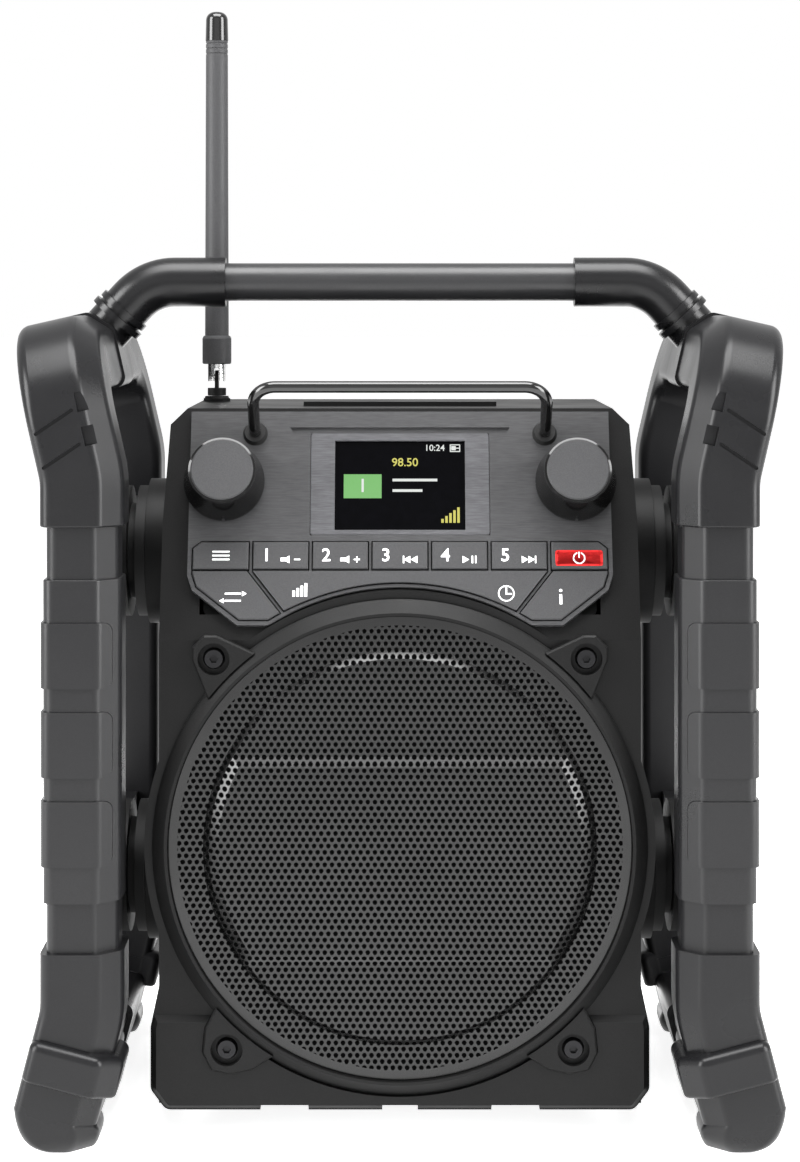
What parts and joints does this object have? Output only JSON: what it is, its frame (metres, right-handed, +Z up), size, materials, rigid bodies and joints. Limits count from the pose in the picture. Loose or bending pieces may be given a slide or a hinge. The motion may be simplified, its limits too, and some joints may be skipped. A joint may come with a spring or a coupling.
{
  "type": "jobsite radio",
  "caption": "Rugged jobsite radio in a side-rail roll cage with tube handle, slanted control panel, round embossed grille and folding antenna.",
  "frame": {"origin": "centre of the cage footprint, on the ground", "axes": "+Z up, -Y towards the front (grille side), +X to the right seen from the front"},
  "size_m": [0.3066, 0.2132, 0.4569],
  "materials": {
    "guard_rubber": "satin moulded",
    "grip_rubber": "satin moulded",
    "rail_coating": "satin",
    "arm_nylon": "satin",
    "key_silicone": "matte",
    "knob_gloss": "gloss",
    "knob_cap": "matte",
    "steel_parts": "satin",
    "handle_paint": "satin",
    "damper_rubber": "matte",
    "housing_abs": "fine texture",
    "cell_wrap": "printed film",
    "panel_grey": "brushed",
    "bezel_grey": "brushed",
    "lens_black": "gloss",
    "display": "gloss",
    "board_green": "solder mask",
    "rod_enamel": "gloss",
    "grommet_rubber": "matte",
    "frame_abs": "textured",
    "black_screws": "black zinc",
    "grille_steel": "powder coat",
    "basket_steel": "satin",
    "magnet_iron": "ground",
    "cone_poly": "matte",
    "antenna_chrome": "polished",
    "antenna_rubber": "matte",
    "antenna_cap": "gloss",
    "flap_rubber": "matte"
  },
  "bodies": {
    "root": {"antenna_base": "frame_abs", "battery_cells": "cell_wrap", "control_board": "board_green", "control_panel": "panel_grey", "display_module": "display", "door_hinge_pin": "steel_parts", "encoder_bodies": "steel_parts", "frame_screws": "black_screws", "front_housing": "housing_abs", "front_left_foot_guard": "guard_rubber", "front_left_grip_sleeve": "grip_rubber", "front_left_top_guard": "guard_rubber", "front_right_foot_guard": "guard_rubber", "front_right_grip_sleeve": "grip_rubber", "front_right_top_guard": "guard_rubber", "guard_rod": "rod_enamel", "handle_tube": "handle_paint", "left_cage_frame": "rail_coating", "left_handle_arm": "arm_nylon", "loudspeaker_basket": "basket_steel", "loudspeaker_cone": "cone_poly", "loudspeaker_magnet": "magnet_iron", "main_board": "board_green", "rear_housing": "housing_abs", "rear_left_foot_guard": "guard_rubber", "rear_left_grip_sleeve": "grip_rubber", "rear_left_top_guard": "guard_rubber", "rear_right_foot_guard": "guard_rubber", "rear_right_grip_sleeve": "grip_rubber", "rear_right_top_guard": "guard_rubber", "right_cage_frame": "rail_coating", "right_handle_arm": "arm_nylon", "rod_grommets": "grommet_rubber", "rubber_dampers": "damper_rubber", "screen_bezel": "bezel_grey", "screen_lens": "lens_black", "speaker_frame": "frame_abs", "speaker_grille": "grille_steel"},
    "key_page": {"key_page": "key_silicone"},
    "key_1": {"key_1": "key_silicone"},
    "key_2": {"key_2": "key_silicone"},
    "key_3": {"key_3": "key_silicone"},
    "key_4": {"key_4": "key_silicone"},
    "key_5": {"key_5": "key_silicone"},
    "key_power": {"key_power": "key_silicone"},
    "key_source": {"key_source": "key_silicone"},
    "key_info": {"key_info": "key_silicone"},
    "key_strip": {"key_strip": "key_silicone"},
    "left_encoder_shaft": {"left_encoder_shaft": "steel_parts"},
    "left_knob": {"left_knob": "knob_gloss", "left_knob_cap": "knob_cap"},
    "right_encoder_shaft": {"right_encoder_shaft": "steel_parts"},
    "right_knob": {"right_knob": "knob_gloss", "right_knob_cap": "knob_cap"},
    "antenna_swivel": {"antenna_swivel": "frame_abs"},
    "antenna": {"antenna_fork": "antenna_chrome", "antenna_rod": "antenna_rubber", "antenna_tip": "antenna_cap"},
    "battery_door": {"battery_door": "housing_abs"},
    "socket_cover": {"socket_cover": "flap_rubber"}
  },
  "joints": [
    {"name": "key_page_press", "type": "slide", "parent": "root", "child": "key_page", "axis": [0, 0.9367, -0.3502], "range_m": [0, 0.001], "stiffness_N_per_m": 400},
    {"name": "key_1_press", "type": "slide", "parent": "root", "child": "key_1", "axis": [0, 0.9367, -0.3502], "range_m": [0, 0.001], "stiffness_N_per_m": 400},
    {"name": "key_2_press", "type": "slide", "parent": "root", "child": "key_2", "axis": [0, 0.9367, -0.3502], "range_m": [0, 0.001], "stiffness_N_per_m": 400},
    {"name": "key_3_press", "type": "slide", "parent": "root", "child": "key_3", "axis": [0, 0.9367, -0.3502], "range_m": [0, 0.001], "stiffness_N_per_m": 400},
    {"name": "key_4_press", "type": "slide", "parent": "root", "child": "key_4", "axis": [0, 0.9367, -0.3502], "range_m": [0, 0.001], "stiffness_N_per_m": 400},
    {"name": "key_5_press", "type": "slide", "parent": "root", "child": "key_5", "axis": [0, 0.9367, -0.3502], "range_m": [0, 0.001], "stiffness_N_per_m": 400},
    {"name": "key_power_press", "type": "slide", "parent": "root", "child": "key_power", "axis": [0, 0.9367, -0.3502], "range_m": [0, 0.001], "stiffness_N_per_m": 400},
    {"name": "key_source_press", "type": "slide", "parent": "root", "child": "key_source", "axis": [0, 0.9367, -0.3502], "range_m": [0, 0.001], "stiffness_N_per_m": 400},
    {"name": "key_info_press", "type": "slide", "parent": "root", "child": "key_info", "axis": [0, 0.9367, -0.3502], "range_m": [0, 0.001], "stiffness_N_per_m": 400},
    {"name": "key_strip_rock", "type": "hinge", "parent": "root", "child": "key_strip", "pos_m": [0, -0.07642, 0.2141], "axis": [0, 0.3502, 0.9367], "range_deg": [-0.8, 0.8], "stiffness_Nm_per_rad": 0.5},
    {"name": "left_knob_push", "type": "slide", "parent": "root", "child": "left_encoder_shaft", "axis": [0, 0.9367, -0.3502], "range_m": [0, 0.0008], "stiffness_N_per_m": 900},
    {"name": "left_knob_turn", "type": "hinge", "parent": "left_encoder_shaft", "child": "left_knob", "pos_m": [-0.0704, -0.06058, 0.25761], "axis": [0, -0.9367, 0.3502], "continuous": true},
    {"name": "right_knob_push", "type": "slide", "parent": "root", "child": "right_encoder_shaft", "axis": [0, 0.9367, -0.3502], "range_m": [0, 0.0008], "stiffness_N_per_m": 900},
    {"name": "right_knob_turn", "type": "hinge", "parent": "right_encoder_shaft", "child": "right_knob", "pos_m": [0.0704, -0.06058, 0.25761], "axis": [0, -0.9367, 0.3502], "continuous": true},
    {"name": "antenna_turn", "type": "hinge", "parent": "root", "child": "antenna_swivel", "pos_m": [-0.0796, 0.03, 0.29], "axis": [0, 0, -1], "range_deg": [-15, 90]},
    {"name": "antenna_tilt", "type": "hinge", "parent": "antenna_swivel", "child": "antenna", "pos_m": [-0.0796, 0.03, 0.2975], "axis": [-1, 0, 0], "range_deg": [0, 90]},
    {"name": "battery_door_hinge", "type": "hinge", "parent": "root", "child": "battery_door", "pos_m": [0, 0.08, 0.0425], "axis": [-1, 0, 0], "range_deg": [0, 95]},
    {"name": "socket_cover_hinge", "type": "hinge", "parent": "root", "child": "socket_cover", "pos_m": [0.0965, -0.011, 0.178], "axis": [0, 0, 1], "range_deg": [0, 80]}
  ]
}
